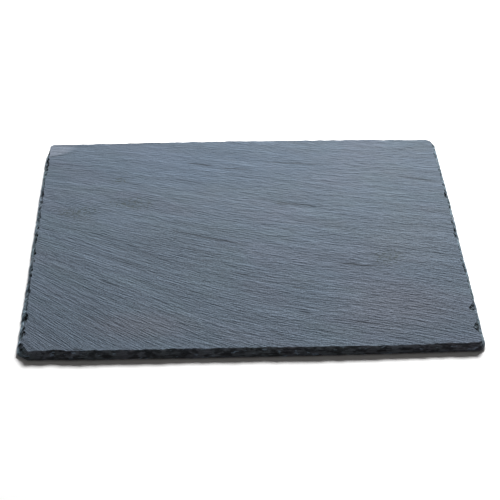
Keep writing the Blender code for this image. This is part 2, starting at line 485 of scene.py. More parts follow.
def inner_points(rim, spacing, height):
    """Points in staggered rows along the grain, inside a rim and clear of it."""
    tree = kdtree.KDTree(len(rim))
    for i, p in enumerate(rim):
        tree.insert((p.x, p.y, 0), i)
    tree.balance()
    step_along, step_across = spacing
    clear = max(ROW_CLEARANCE * step_across, RIM_CLEARANCE)
    lines = [grain_line(p.x, p.y) / step_across for p in rim]
    columns = int(LENGTH / 2 / step_along)
    points = []
    for row in range(int(min(lines)), int(max(lines)) + 1):
        for column in range(-columns, columns + 1):
            x = (column + 0.5 * (row % 2)) * step_along
            p = Vector((x, y_on_grain_line(x, row * step_across), 0))
            if abs(p.y) > DEPTH / 2:
                continue
            _, i, distance = tree.find(p)
            along, from_rim = rim[(i + 1) % len(rim)] - rim[i - 1], p - rim[i]
            if along.x * from_rim.y > along.y * from_rim.x and distance > clear:
                points.append(Vector((p.x, p.y, height(p.x, p.y))))
    return points


def filled(points, rim_count, spacing):
    """Triangles over a rim and the points inside it."""
    stretch = spacing[0] / spacing[1]
    plan = [Vector((p.x / stretch, grain_line(p.x, p.y))) for p in points]
    border = [(i, (i + 1) % rim_count) for i in range(rim_count)]
    _, _, triangles, sources, _, _ = delaunay_2d_cdt(plan, border, [], KEEP_INSIDE, CLOSE_ENOUGH)
    return [[sources[i][0] for i in triangle] for triangle in triangles]


print("clearance from the rim:", 1000 * RIM_CLEARANCE, "mm")

# %% [markdown]
# ## One closed mesh
#
# The real board is one piece of stone, so the face, the rings of the edge and the underside are joined into
# one closed shell. Its points are numbered in that order: the face with its rim, the edge from the top down,
# and the points inside the underside.

# %% Join the face, the edge and the underside
FACE_POINTS = (0.0019, 0.00086)
UNDER_POINTS = (0.0060, 0.0030)


def carved_height(x, y):
    """Height of the face with the flakes lifted off it."""
    return face_height(x, y) - flakes_at(x, y)[0]


def slab_shell():
    """Points and faces of the closed slab, and where its edge and its underside start among the points."""
    count = len(outline)
    under_inside = inner_points(rings[-1], UNDER_POINTS, lambda x, y: 0.0)
    points = rings[0] + inner_points(rings[0], FACE_POINTS, carved_height)
    faces = filled(points, count, FACE_POINTS)
    first_hewn = len(points)
    upper = list(range(count))
    for ring in rings[1:]:
        lower = list(range(len(points), len(points) + count))
        points += ring
        pairs = zip(range(count), [*range(1, count), 0])
        faces += [(upper[i], lower[i], lower[j], upper[j]) for i, j in pairs]
        upper = lower
    first_under = len(points)
    underside = filled(rings[-1] + under_inside, count, UNDER_POINTS)
    names = upper + list(range(first_under, first_under + len(under_inside)))
    faces += [tuple(names[i] for i in reversed(triangle)) for triangle in underside]
    return points + under_inside, faces, first_hewn, first_under


shell = slab_shell()
print("the shell has", len(shell[0]), "points and", len(shell[1]), "faces")

# %% [markdown]
# ## What the points carry
#
# The next steps ask each point what it is. So the points carry their place along and across the grain,
# whether they are on the hewn edge or the underside, how much painted shade they get at the foot of a flake,
# and which way is into the stone. Such values are attributes, which the relief and the finish can both read.
# Last the shell is looked over: a point that no face uses goes, and there should be no open edge.

# %% Make the slab's mesh
HEWN_AT_ARRIS = 0.5


def point_values(points, first_hewn, first_under):
    """What the points carry, by name."""
    count = len(outline)
    hewn, under, painted_cleft_shade = (np.zeros(len(points)) for _ in range(3))
    hewn[:count] = HEWN_AT_ARRIS
    hewn[first_hewn:first_under] = 1.0
    under[first_under:] = 1.0
    painted_cleft_shade[count:first_hewn] = [flakes_at(p.x, p.y)[1] for p in points[count:first_hewn]]
    grain = np.array([(p.x, grain_line(p.x, p.y), p.z) for p in points])
    inward = np.zeros((len(points), 3))
    for i in [*range(count), *range(first_hewn, first_under)]:
        inward[i, :2] = -outward(points[i].x, points[i].y)
    return {
        "hewn": hewn,
        "under": under,
        "painted_cleft_shade": painted_cleft_shade,
        "long_side": inward[:, 1] ** 2,
        "grain": grain,
        "inward": inward,
    }


def slab_mesh(points, faces, first_hewn, first_under):
    """The closed slab with its point attributes."""
    mesh = bpy.data.meshes.new("slate_slab")
    mesh.from_pydata(points, [], faces)
    for name, values in point_values(points, first_hewn, first_under).items():
        kind, key = ("FLOAT", "value") if values.ndim == 1 else ("FLOAT_VECTOR", "vector")
        mesh.attributes.new(name, kind, "POINT").data.foreach_set(key, values.ravel())
    mesh.validate()
    return mesh


def without_loose_points(mesh):
    """Takes out points that no face uses, and counts the edges that don't join two faces."""
    shape = bmesh.new()
    shape.from_mesh(mesh)
    loose = [point for point in shape.verts if not point.link_faces]
    bmesh.ops.delete(shape, geom=loose, context="VERTS")
    open_edges = sum(not edge.is_manifold for edge in shape.edges)
    shape.to_mesh(mesh)
    shape.free()
    print(len(loose), "loose points taken out,", open_edges, "open edges")
    return mesh


slab = bpy.data.objects.new("slab_rough", without_loose_points(slab_mesh(*shell)))
bpy.context.scene.collection.objects.link(slab)
print(len(slab.data.vertices), "points and", len(slab.data.polygons), "faces before the relief")

# %% [markdown]
# ## Wiring nodes
#
# The relief and the finish are both node trees, and the same small steps come back in each: add a node, set
# it up, and feed its inputs. One helper does that, and a few short ones name the steps that are used most, so
# that the trees below read like recipes. The last one is a ramp. The cells below keep a ramp as two or four
# numbers: the stretch of values that it reads, and what it gives at the two ends, if not 0 and 1.

# %% Helpers that add nodes
def add(tree, kind, inputs=None, **settings):
    """Adds a node. An input is fed by a socket, or set to a value."""
    node = tree.nodes.new(kind)
    for name, value in settings.items():
        setattr(node, name, value)
    for key, value in (inputs or {}).items():
        if isinstance(value, bpy.types.NodeSocket):
            tree.links.new(value, node.inputs[key])
        else:
            node.inputs[key].default_value = value
    return node


def maths(tree, operation, a, b=0.0):
    """One sum on numbers."""
    return add(tree, "ShaderNodeMath", {0: a, 1: b}, operation=operation).outputs[0]


def vectors(tree, operation, a, b):
    """One sum on vectors."""
    return add(tree, "ShaderNodeVectorMath", {0: a, 1: b}, operation=operation).outputs[0]


def vector_of(tree, x=0.0, y=0.0, z=0.0):
    """A vector from three numbers."""
    return add(tree, "ShaderNodeCombineXYZ", {0: x, 1: y, 2: z}).outputs[0]


def part_of(tree, vector, axis):
    """One number of a vector: 0 for X, 1 for Y, 2 for Z."""
    return add(tree, "ShaderNodeSeparateXYZ", {0: vector}).outputs[axis]


def soft_noise(tree, vector, detail=2.0, roughness=0.5):
    """Smooth noise between 0 and 1, with cells one unit wide."""
    inputs = {"Vector": vector, "Scale": 1.0, "Detail": detail, "Roughness": roughness}
    return add(tree, "ShaderNodeTexNoise", inputs, noise_dimensions="3D").outputs[0]


def noise_per_metre(tree, vector, cells, detail=2.0, roughness=0.5):
    """Smooth noise between 0 and 1, with a number of cells in a metre of each axis."""
    return soft_noise(tree, vectors(tree, "MULTIPLY", vector, cells), detail, roughness)


def between(tree, value, low, high, to_low=0.0, to_high=1.0):
    """A ramp: eases a value from to_low at low to to_high at high."""
    inputs = {"Value": value, "From Min": low, "From Max": high, "To Min": to_low, "To Max": to_high}
    return add(tree, "ShaderNodeMapRange", inputs, interpolation_type="SMOOTHSTEP").outputs[0]


print("helpers ready")

# %% [markdown]
# ## Ripples on the face
#
# The fine relief follows the surface, which is what Geometry Nodes are for. All its sizes are inputs of one
# tree, and this table is the place to change them. On the face, noise is read along and across the grain. It
# is then read a second time at places moved by the first reading, which makes each ripple steeper on its
# front side, like the small ledges of split stone. The ripples are higher towards the front, where the real
# board is rougher.

# %% Shape the ripples
RELIEF_SIZES = {
    "Ripple Height": 0.00045,
    "Ripple Length": 0.0095,
    "Ripple Width": 0.0023,
    "Ripple Lean": 0.50,
    "Long Share": 0.70,
    "Long Stretch": 6.5,
    "Wobble": 0.0024,
    "Wobble Size": 0.022,
    "Front Gain": 1.67,
    "Chip Depth": 0.00035,
    "Chip Size": 0.0042,
    "Scoop Depth": 0.0020,
    "Scoop Size": 0.0043,
    "Underside Hollow": 0.00028,
    "Seed": 7.0,
}
FULL_LEAN = 4.0  # how far a lean of 1 moves the second reading, in ripple widths
LONG_PATTERN = (31.7, 0.0, 4.4)  # where the long ripples are read, away from the short ones
UNMOVED = 0.75  # the reading that leaves the face where it is
TO_THE_FRONT = (0.13, -0.13)


def attribute(tree, name, kind="FLOAT"):
    """Reads what the slab's points carry."""
    return add(tree, "GeometryNodeInputNamedAttribute", {"Name": name}, data_type=kind).outputs[0]


def noise_about_zero(tree, vector, detail=2.0):
    """Smooth noise between -0.5 and 0.5."""
    return maths(tree, "SUBTRACT", soft_noise(tree, vector, detail), 0.5)


def ripple_noise(tree, size, grain, shift):
    """The ripples as a value: swaying, leaning to the front, and in part drawn out into long ones."""
    broad = vectors(tree, "DIVIDE", grain, vector_of(tree, size["Wobble Size"], size["Wobble Size"], 1.0))
    sway = noise_about_zero(tree, vectors(tree, "ADD", broad, shift), 1.0)
    bent = vectors(tree, "ADD", grain, vector_of(tree, 0.0, maths(tree, "MULTIPLY", sway, size["Wobble"])))
    cell = vector_of(tree, size["Ripple Length"], size["Ripple Width"], 1.0)
    along_grain = vectors(tree, "ADD", vectors(tree, "DIVIDE", bent, cell), shift)
    furthest = maths(tree, "MULTIPLY", size["Ripple Lean"], FULL_LEAN)
    lean = maths(tree, "MULTIPLY", noise_about_zero(tree, along_grain), furthest)
    leaning = vectors(tree, "ADD", along_grain, vector_of(tree, 0.0, lean))
    drawn_out = vectors(tree, "DIVIDE", leaning, vector_of(tree, size["Long Stretch"], 1.0, 1.0))
    long = soft_noise(tree, vectors(tree, "ADD", drawn_out, LONG_PATTERN))
    short_share = maths(tree, "SUBTRACT", 1.0, size["Long Share"])
    short_part = maths(tree, "MULTIPLY", soft_noise(tree, leaning), short_share)
    return maths(tree, "ADD", short_part, maths(tree, "MULTIPLY", long, size["Long Share"]))


def ripple_rise(tree, size, ripple, place):
    """How far the ripples move the face up or down, in metres."""
    nearness = between(tree, part_of(tree, place, 1), *TO_THE_FRONT)
    extra = maths(tree, "MULTIPLY", nearness, maths(tree, "SUBTRACT", size["Front Gain"], 1.0))
    height = maths(tree, "MULTIPLY", size["Ripple Height"], maths(tree, "ADD", 1.0, extra))
    return maths(tree, "MULTIPLY", maths(tree, "SUBTRACT", ripple, UNMOVED), height)


print("relief sizes:", RELIEF_SIZES)

# %% [markdown]
# ## Chips and scoops in the edge
#
# Small round chips push the points of the edge into the stone, and bigger scoops bite its upper half, fewer
# of them on the long sides. Both are made from Voronoi cells, which are like a pile of pebbles: the distance
# to the middle of a cell gives a round hollow, and the cell's random colour says whether a scoop was taken.
# The mask of the scoops is kept, because the finish paints shade into the notches that they leave.

# %% Shape the chips and the scoops
CHIP_CELL_HEIGHT, SCOOP_CELL_HEIGHT = 0.0024, 0.0050
CHIP_MIDDLE, CHIP_SLOPE = 0.8, 0.9
SCOOP_HOLLOW = (0.60, 0.22)
SCOOPS_TAKEN = (0.20, 0.60)
SCOOPS_HIGH_UP = (0.0012, 0.0040)
FEWER_ON_LONG_SIDES = (0.05, 0.5, 1.0, 0.30)


def pebbles(tree, place, shift, width, height):
    """Voronoi cells of a width and a height."""
    cell = vectors(tree, "DIVIDE", place, vector_of(tree, width, width, height))
    inputs = {"Vector": vectors(tree, "ADD", cell, shift), "Scale": 1.0}
    return add(tree, "ShaderNodeTexVoronoi", inputs).outputs


def chip_depth(tree, size, place, shift):
    """Depth of the small chips, in metres."""
    away = pebbles(tree, place, shift, size["Chip Size"], CHIP_CELL_HEIGHT)["Distance"]
    chip = maths(tree, "SUBTRACT", CHIP_MIDDLE, maths(tree, "MULTIPLY", away, CHIP_SLOPE))
    return maths(tree, "MULTIPLY", maths(tree, "MAXIMUM", chip), size["Chip Depth"])


def scoop_mask(tree, size, place, shift):
    """Where a scoop has bitten, from 0 to 1."""
    scoops = pebbles(tree, place, shift, size["Scoop Size"], SCOOP_CELL_HEIGHT)
    hollowed = between(tree, scoops["Distance"], *SCOOP_HOLLOW)
    taken = between(tree, part_of(tree, scoops["Color"], 0), *SCOOPS_TAKEN)
    high_up = between(tree, part_of(tree, place, 2), *SCOOPS_HIGH_UP)
    fewer = between(tree, attribute(tree, "long_side"), *FEWER_ON_LONG_SIDES)
    bitten = maths(tree, "MULTIPLY", hollowed, taken)
    return maths(tree, "MULTIPLY", bitten, maths(tree, "MULTIPLY", high_up, fewer))


print("scoops up to", 1000 * RELIEF_SIZES["Scoop Depth"], "mm deep")

# %% [markdown]
# ## The relief tree
#
# Now the parts are wired together. Each works where the points say that it should: the ripples on the face,
# the chips and scoops on the edge. On the underside the stone is hollowed a little, so that it still rests on
# its high spots. Two masks are stored for the finish: how high a ripple stands, and where a scoop has left a
# notch. At its end the tree makes everything real and gives out the two finishes.

# %% Build the relief tree
UNDERSIDE_CELLS = (90.0, 260.0, 0.0)
HEWN_FROM = 0.7  # the share of hewn stone from which a facet gets the edge's finish


def named_inputs(tree):
    """Gives the tree its inputs and its output."""
    for way in ("INPUT", "OUTPUT"):
        tree.interface.new_socket("Geometry", in_out=way, socket_type="NodeSocketGeometry")
    for name in RELIEF_SIZES:
        tree.interface.new_socket(name, in_out="INPUT", socket_type="NodeSocketFloat")
    return add(tree, "NodeGroupInput").outputs


def hand_out(tree, geometry, hewn, face_stone, edge_stone):
    """Makes the geometry real and gives the face and the edge their stone."""
    real = add(tree, "GeometryNodeRealizeInstances", {"Geometry": geometry})
    stone = add(tree, "GeometryNodeSetMaterial", {"Geometry": real.outputs[0], "Material": face_stone})
    edge = maths(tree, "GREATER_THAN", hewn, HEWN_FROM)
    inputs = {"Geometry": stone.outputs[0], "Selection": edge, "Material": edge_stone}
    dressed = add(tree, "GeometryNodeSetMaterial", inputs)
    add(tree, "NodeGroupOutput", {0: dressed.outputs[0]})


def relief_tree(face_stone, edge_stone):
    """The tree that gives the slab its ripples, chips and scoops."""
    tree = bpy.data.node_groups.new("riven_relief", "GeometryNodeTree")
    size = named_inputs(tree)
    place = add(tree, "GeometryNodeInputPosition").outputs[0]
    shift = vector_of(tree, size["Seed"], size["Seed"], size["Seed"])
    grain = attribute(tree, "grain", "FLOAT_VECTOR")
    hewn, under = attribute(tree, "hewn"), attribute(tree, "under")

    ripple = ripple_noise(tree, size, grain, shift)
    on_face = maths(tree, "SUBTRACT", 1.0, maths(tree, "MAXIMUM", hewn, under))
    lift_face = maths(tree, "MULTIPLY", ripple_rise(tree, size, ripple, place), on_face)
    hollow = noise_per_metre(tree, grain, UNDERSIDE_CELLS, 3.0)
    lift_under = maths(tree, "MULTIPLY", maths(tree, "MULTIPLY", hollow, under), size["Underside Hollow"])
    lift = vector_of(tree, 0.0, 0.0, maths(tree, "ADD", lift_face, lift_under))

    notch = scoop_mask(tree, size, place, shift)
    scoop_depth = maths(tree, "MULTIPLY", notch, size["Scoop Depth"])
    depth = maths(tree, "ADD", chip_depth(tree, size, place, shift), scoop_depth)
    inputs = {0: attribute(tree, "inward", "FLOAT_VECTOR"), "Scale": maths(tree, "MULTIPLY", depth, hewn)}
    push_in = add(tree, "ShaderNodeVectorMath", inputs, operation="SCALE").outputs[0]

    inputs = {"Geometry": size["Geometry"], "Offset": vectors(tree, "ADD", push_in, lift)}
    kept = add(tree, "GeometryNodeSetPosition", inputs)
    for name, value in (("relief", ripple), ("notch", notch)):
        inputs = {"Geometry": kept.outputs[0], "Name": name, "Value": value}
        kept = add(tree, "GeometryNodeStoreNamedAttribute", inputs, data_type="FLOAT", domain="POINT")
    hand_out(tree, kept.outputs[0], hewn, face_stone, edge_stone)
    return tree


print("the relief tree has", len(RELIEF_SIZES), "sizes as inputs")

# %% [markdown]
# ## Mixing colours
#
# A finish is mixed as paint is: one colour over another, a colour made darker or lighter, and noise that says
# where. An effect that both the face and the edge use becomes a node group, which is built once and placed in
# each material with its own values.

# %% Helpers for groups and colours
def new_group(name, inputs, outputs):
    """A shader node group with named inputs and outputs: (name, starting value), and (name, kind)."""
    group = bpy.data.node_groups.new(name, "ShaderNodeTree")
    for label, value in inputs:
        socket = group.interface.new_socket(label, in_out="INPUT", socket_type="NodeSocketFloat")
        socket.default_value = value
    for label, kind in outputs:
        group.interface.new_socket(label, in_out="OUTPUT", socket_type=kind)
    return group, add(group, "NodeGroupInput").outputs


def mixed(tree, factor, a, b, blend="MIX"):
    """Mixes two colours."""
    inputs = {0: factor, 6: a, 7: b}
    node = add(tree, "ShaderNodeMix", inputs, data_type="RGBA", blend_type=blend, clamp_factor=True)
    return node.outputs[2]


def shaded(tree, colour, value):
    """A colour made lighter or darker by one value."""
    return mixed(tree, 1.0, colour, vector_of(tree, value, value, value), "MULTIPLY")


def grain_noise_of(tree, grain, cell, detail=2.0, roughness=0.5):
    """Smooth noise in cells of a length along the grain and a width across it."""
    length, width = cell
    return soft_noise(tree, vectors(tree, "DIVIDE", grain, (length, width, width)), detail, roughness)


print("colour helpers ready")

# %% [markdown]
# ## The stone itself
#
# Slate is clay and mica, so its colour is never even: blue-grey, with a breath of lilac where there is iron
# and of green where there is chlorite, and fine streaks along the grain. The face and the freshly
# broken edge are the same stone, so one node group mixes these tints for both. It reads the grain attribute
# rather than X and Y, so that the streaks bend with the ripples.

# %% Mix the stone's tints
BLUE_GREY = (0.082, 0.108, 0.142, 1)
LILAC_GREY = (0.094, 0.106, 0.142, 1)
GREEN_GREY = (0.078, 0.110, 0.130, 1)
LILAC_CELL, LILAC_FROM = (0.080, 0.040), (0.48, 0.66)
GREEN_CELL, GREEN_FROM = (0.055, 0.030), (0.56, 0.36)
STREAK_CELL, BLOTCH_CELL = (0.022, 0.0016), (0.030, 0.012)
STREAK_SHARE, BLOTCH_SHARE = 0.6, 0.4


def stone_tints():
    """Group: the stone's colour with tints and streaks, and the streaks alone as a mask."""
    group, given = new_group(
        "stone_tints",
        [("Streak Strength", 0.3), ("Tint Strength", 0.8)],
        [("Colour", "NodeSocketColor"), ("Streaks", "NodeSocketFloat")],
    )
    grain = add(group, "ShaderNodeAttribute", attribute_name="grain").outputs["Vector"]
    lilac = between(group, grain_noise_of(group, grain, LILAC_CELL), *LILAC_FROM)
    green = between(group, grain_noise_of(group, grain, GREEN_CELL), *GREEN_FROM)
    colour = mixed(group, maths(group, "MULTIPLY", lilac, given["Tint Strength"]), BLUE_GREY, LILAC_GREY)
    colour = mixed(group, maths(group, "MULTIPLY", green, given["Tint Strength"]), colour, GREEN_GREY)
    long_streaks = grain_noise_of(group, grain, STREAK_CELL, 3.0, 0.6)
    blotches = grain_noise_of(group, grain, BLOTCH_CELL, 4.0, 0.6)
    streak_part = maths(group, "MULTIPLY", long_streaks, STREAK_SHARE)
    streaks = maths(group, "ADD", streak_part, maths(group, "MULTIPLY", blotches, BLOTCH_SHARE))
    weight = maths(group, "MULTIPLY", maths(group, "SUBTRACT", streaks, 0.5), given["Streak Strength"])
    shade = maths(group, "ADD", 1.0, maths(group, "MULTIPLY", weight, 2.0))
    add(group, "NodeGroupOutput", {"Colour": shaded(group, colour, shade), "Streaks": streaks})
    return group


def names_out(group):
    """The names of what a group gives."""
    return [item.name for item in group.interface.items_tree if item.in_out == "OUTPUT"]


tints = stone_tints()
print("group", tints.name, "gives", names_out(tints))

# %% [markdown]
# ## Fine grain
#
# Below a millimetre the stone has a grain of tiny splinters, too fine to model. A bump gives it: splinters
# drawn out along the grain, and a dust of round grains over them. Both the face and the edge use it, with
# heights of their own, so it is a group too. It gives a height, which each material turns into a normal, and
# a grain shade, which is painted light and shade of the same grains. Both are softer at the back, where the
# board is smoother.

# %% Raise the fine grain
FROM_BACK_TO_FRONT = (0.13, -0.12)


def fine_grain():
    """Group: the height of splinters and grains in metres, and the grains' painted light and shade about 1.
    """
    group, given = new_group(
        "fine_grain",
        [
            ("Splinter Height", 0.00006),
            ("Splinter Length", 0.0045),
            ("Splinter Width", 0.0012),
            ("Grain Height", 0.00010),
            ("Grain Size", 0.0010),
            ("Share At Back", 0.4),
        ],
        [("Height", "NodeSocketFloat"), ("Grain Shade", "NodeSocketFloat")],
    )
    grain = add(group, "ShaderNodeAttribute", attribute_name="grain").outputs["Vector"]
    cell = vector_of(group, given["Splinter Length"], given["Splinter Width"], given["Splinter Width"])
    splinters = soft_noise(group, vectors(group, "DIVIDE", grain, cell), 4.0, 0.55)
    place = add(group, "ShaderNodeTexCoord").outputs["Object"]
    grain_cell = vector_of(group, given["Grain Size"], given["Grain Size"], given["Grain Size"])
    grains = soft_noise(group, vectors(group, "DIVIDE", place, grain_cell))
    coarse = between(group, part_of(group, place, 1), *FROM_BACK_TO_FRONT, given["Share At Back"])
    half_coarse = maths(group, "MULTIPLY", maths(group, "ADD", coarse, 1.0), 0.5)
    splinter_rise = maths(group, "MULTIPLY", splinters, given["Splinter Height"])
    splinter_rise = maths(group, "MULTIPLY", splinter_rise, half_coarse)
    grain_rise = maths(group, "MULTIPLY", maths(group, "MULTIPLY", grains, given["Grain Height"]), coarse)
    height = maths(group, "ADD", splinter_rise, grain_rise)
    # Painted light and shade of the grains, softer at the back.
    grain_shade = maths(group, "MULTIPLY", maths(group, "SUBTRACT", grains, 0.5), coarse)
    add(group, "NodeGroupOutput", {"Height": height, "Grain Shade": maths(group, "ADD", 1.0, grain_shade)})
    return group


splinter_group = fine_grain()
print("group", splinter_group.name, "gives", names_out(splinter_group))

# %% [markdown]
# ## Marks on the riven face
#
# Broad drifts lie over the face, some lilac or blue, some only dimmer or lighter. Thin olive curls of stain
# show in four places: they are the contour lines of a noise, which loop as a drying stain does. Both start
# from the distance to the middle of an oval, and a second noise frays the rim of a stain.

# %% Lay out the marks
DIM, LIGHT = (0.072, 0.094, 0.124, 1), (0.096, 0.121, 0.152, 1)
LILAC, BLUE = (0.095, 0.106, 0.134, 1), (0.077, 0.108, 0.152, 1)
DRIFT_FADE = (1.2, 0.2, 0.0, 0.65)
DRIFTS = (  # X and Y of the middle, half the length and depth, and the colour
    (-0.072, -0.020, 0.060, 0.045, DIM),
    (-0.148, -0.109, 0.060, 0.050, DIM),
    (0.152, -0.012, 0.060, 0.045, LIGHT),
    (0.132, -0.098, 0.070, 0.040, LILAC),
    (-0.095, -0.116, 0.055, 0.020, LILAC),
    (-0.030, 0.110, 0.150, 0.050, BLUE),
)
STAIN = (0.034, 0.046, 0.044, 1)
STAIN_RIM = (1.25, 0.75)
CURL_CELLS = (170.0, 230.0, 0.0)
CURL_LINES = (0.048, 0.012, 0.14, 0.76)
STAINS = (  # X and Y of the middle, and half the length and depth
    (-0.122, 0.083, 0.008, 0.004),
    (-0.160, 0.036, 0.017, 0.007),
    (-0.110, 0.048, 0.020, 0.008),
    (0.128, -0.036, 0.012, 0.011),
)


def from_middle(tree, place, middle, half):
    """Distance from the middle of an oval seen from above, which is 1 on its rim."""
    reach = vectors(tree, "DIVIDE", vectors(tree, "SUBTRACT", place, (*middle, 0.0)), (*half, 1.0))
    flat = vectors(tree, "MULTIPLY", reach, (1.0, 1.0, 0.0))
    return add(tree, "ShaderNodeVectorMath", {0: flat}, operation="LENGTH").outputs["Value"]


def with_drifts(tree, colour, place, shade):
    """The face's colour with its broad drifts; a drift keeps the shades of the ripples."""
    for x, y, half_x, half_y, tint in DRIFTS:
        drift = between(tree, from_middle(tree, place, (x, y), (half_x, half_y)), *DRIFT_FADE)
        colour = mixed(tree, drift, colour, shaded(tree, tint, shade))
    return colour


def with_stains(tree, colour, place, fray):
    """The face's colour with its curls of stain."""
    contours = noise_per_metre(tree, place, CURL_CELLS, 3.0)
    off_line = maths(tree, "ABSOLUTE", maths(tree, "SUBTRACT", contours, 0.5))
    curls = between(tree, off_line, *CURL_LINES)
    for x, y, half_x, half_y in STAINS:
        frayed = maths(tree, "ADD", from_middle(tree, place, (x, y), (half_x, half_y)), fray)
        inside = between(tree, frayed, *STAIN_RIM)
        colour = mixed(tree, maths(tree, "MULTIPLY", inside, curls), colour, STAIN)
    return colour


print(len(DRIFTS), "drifts and", len(STAINS), "stains")

# %% [markdown]
# ## The pale wedge
#
# At the back left corner the top layer of the stone is missing, and a wedge of paler stone shows. Its lower
# side is a curve, so the mask is worked out from how far a point lies above that curve, and the same noise
# that frays the stains frays its rim.

# %% Lay out the wedge
PALE_STONE = (0.205, 0.224, 0.272, 1)
WEDGE_LEFT, WEDGE_FOOT, WEDGE_SWEEP, WEDGE_FRAY = -0.197, 0.1225, 17.0, 0.0016
WEDGE_RIM, WEDGE_FADE = (-0.0012, 0.0034), (-0.164, -0.184)
WEDGE_PATCHES = (-1.2, 1.2, 0.22, 0.62)


def with_wedge(tree, colour, place, fray):
    """The face's colour with the pale wedge: its lower side sweeps up to the right, and it fades there."""
    along = maths(tree, "SUBTRACT", part_of(tree, place, 0), WEDGE_LEFT)
    sweep = maths(tree, "MULTIPLY", maths(tree, "MULTIPLY", along, along), WEDGE_SWEEP)
    above = maths(tree, "SUBTRACT", part_of(tree, place, 1), maths(tree, "ADD", sweep, WEDGE_FOOT))
    above = maths(tree, "ADD", above, maths(tree, "MULTIPLY", fray, WEDGE_FRAY))
    fade = between(tree, part_of(tree, place, 0), *WEDGE_FADE)
    inside = maths(tree, "MULTIPLY", between(tree, above, *WEDGE_RIM), fade)
    pale = maths(tree, "MULTIPLY", inside, between(tree, fray, *WEDGE_PATCHES))
    return mixed(tree, pale, colour, PALE_STONE)


print("the wedge starts", 1000 * WEDGE_FOOT, "mm behind the middle of the board")

# %% [markdown]
# ## Starting a finish
#
# Both finishes start in the same way: a new material with a weak specular level, the two groups with the
# finish's own values, the masks that the points carry, and a bump. What is the same all over, such as the
# specular level, is set on the shader's own socket.

# %% Helpers for finishes
def new_stone(name, specular):
    """A new material, with its shader's specular level set."""
    material = bpy.data.materials.new(name)
    material.use_nodes = True
    shader = material.node_tree.nodes["Principled BSDF"]
    shader.inputs["Specular IOR Level"].default_value = specular
    return material, material.node_tree, shader


def group_node(tree, group, values):
    """Places a group in a tree with its own values."""
    return add(tree, "ShaderNodeGroup", values, node_tree=group).outputs


def stored(tree, name):
    """Reads a mask that the slab's points carry."""
    return add(tree, "ShaderNodeAttribute", attribute_name=name).outputs["Fac"]


def raise_bumps(tree, shader, height):
    """Turns a height in metres into the shader's normal."""
    bump = add(tree, "ShaderNodeBump", {"Height": height, "Distance": 1.0, "Strength": 1.0})
    tree.links.new(bump.outputs[0], shader.inputs["Normal"])


print("finish helpers ready")

# %% [markdown]
# ## Riven face
#
# The crests of its ripples are a shade paler than the hollows: partly wear, with dust and oil kept in the
# hollows, and partly painted light and shade of the ripples. The grain shade is painted light and shade of
# the fine grains. Over that come the marks, and last the clefts at the feet of the flakes, painted nearly
# black as
# shade. The sheen is dull and uneven: roughness goes with the streaks.

# %% Finish the riven face
FACE_SPECULAR = 0.08
FACE_STONE = {"Streak Strength": 0.30, "Tint Strength": 0.3}
FACE_GRAIN = {
    "Splinter Height": 0.00185,
    "Splinter Length": 0.0110,
    "Splinter Width": 0.0016,
    "Grain Height": 0.00050,
    "Grain Size": 0.0012,
    "Share At Back": 0.25,
}
# Crests painted paler and hollows darker: partly wear, partly painted light and shade of the ripples.
WORN_AND_SHADED_CRESTS = (0.40, 0.66, 0.84, 1.12)
# How strongly the painted light and shade of the fine grains shows.
GRAIN_SHADE_CONTRAST = 1.6
FRAY_CELLS, FRAY_REACH = (420.0, 640.0, 0.0), 4.5
# The colour painted into the clefts as shade, and how strongly it is painted.
CLEFT_PAINTED_SHADE, CLEFT_SHADE_WEIGHT = (0.012, 0.016, 0.020, 1), 0.9
FACE_ROUGHNESS = (0.3, 0.7, 0.56, 0.70)


def face_material():
    """Riven slate."""
    material, tree, shader = new_stone("riven_slate", FACE_SPECULAR)
    stone = group_node(tree, tints, FACE_STONE)
    bumps = group_node(tree, splinter_group, FACE_GRAIN)
    place = add(tree, "ShaderNodeTexCoord").outputs["Object"]
    fray = noise_per_metre(tree, place, FRAY_CELLS, 4.0, 0.65)
    fray = maths(tree, "MULTIPLY", maths(tree, "SUBTRACT", fray, 0.5), FRAY_REACH)

    # Paler crests and darker hollows are partly wear, partly painted light and shade; the grain shade is
    # painted too.
    worn_and_shaded = between(tree, stored(tree, "relief"), *WORN_AND_SHADED_CRESTS)
    shade = maths(tree, "MULTIPLY", worn_and_shaded, maths(tree, "POWER", bumps["Grain Shade"], GRAIN_SHADE_CONTRAST))
    colour = with_drifts(tree, shaded(tree, stone["Colour"], shade), place, shade)
    colour = with_wedge(tree, with_stains(tree, colour, place, fray), place, fray)
    # The clefts at the feet of the flakes are painted nearly black, as shade.
    painted_cleft_shade = maths(tree, "MULTIPLY", stored(tree, "painted_cleft_shade"), CLEFT_SHADE_WEIGHT)
    tree.links.new(mixed(tree, painted_cleft_shade, colour, CLEFT_PAINTED_SHADE), shader.inputs["Base Color"])
    tree.links.new(between(tree, stone["Streaks"], *FACE_ROUGHNESS), shader.inputs["Roughness"])
    raise_bumps(tree, shader, bumps["Height"])
    return material


face_stone = face_material()
print("finished", face_stone.name)

# %% [markdown]
# ## Shades of the hewn edge
#
# The broken edge is the same stone without the face's sheen. Its colour carries painted light and shade by
# side: darker and browner on the long sides, about as light as the face on the right, and paler on the left,
# which is turned from the main light. Mottles break it up, the notches are painted dark as shade, and small
# nicks under the top arris are painted dark dots of shade on the short sides. These are all masks that
# multiply the stone's colour.

# %% Lay out the shades of the edge
ON_LONG_SIDE, ON_SHORT_SIDE = (0.2, 0.8), (0.5, 0.1)
AT_LEFT = (0.05, -0.05)
# Painted light and shade by side: the long sides darker, the short sides paler, most of all the left one.
LONG_SIDE_PAINTED_SHADE = (0.95, 0.82, 0.74, 1)
RIGHT_SIDE_PAINTED_LIGHT, LEFT_SIDE_PAINTED_LIGHT = (1.22, 1.27, 1.18, 1), (1.80, 1.86, 1.74, 1)
MOTTLE_CELLS, MOTTLES = (130.0, 260.0, 420.0), (0.42, 0.58, 0.55, 1.35)
